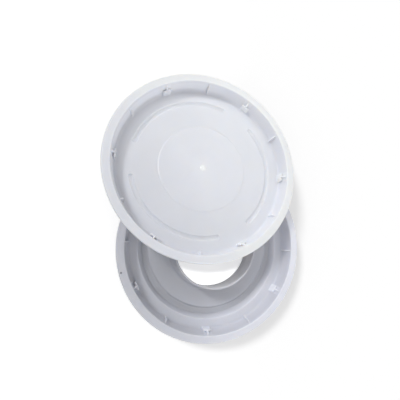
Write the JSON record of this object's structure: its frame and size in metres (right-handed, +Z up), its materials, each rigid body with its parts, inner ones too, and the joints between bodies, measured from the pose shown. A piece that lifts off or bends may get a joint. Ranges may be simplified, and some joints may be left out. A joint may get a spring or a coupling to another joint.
{
  "type": "ring mold with lid",
  "caption": "Round milky white plastic ring mold: a shallow trough with a raised open centre tube, and a dished lid lying aslant on it.",
  "frame": {"origin": "on the axis of the centre tube, on the plane that the base stands on", "axes": "+Z up along the tube's axis, +Y towards the side where the lid hangs over the base, +X to the right of that"},
  "size_m": [0.2121, 0.2837, 0.0533],
  "materials": {
    "base_plastic": "milky translucent polypropylene, satin",
    "lid_plastic": "milky translucent polypropylene, satin"
  },
  "bodies": {
    "base": {"mold_base": "base_plastic"},
    "lid": {"mold_lid": "lid_plastic"}
  },
  "joints": [
    {"name": "lid_lift", "type": "slide", "parent": "base", "child": "lid", "axis": [0, 0, 1], "range_m": [0, 0.08]}
  ]
}
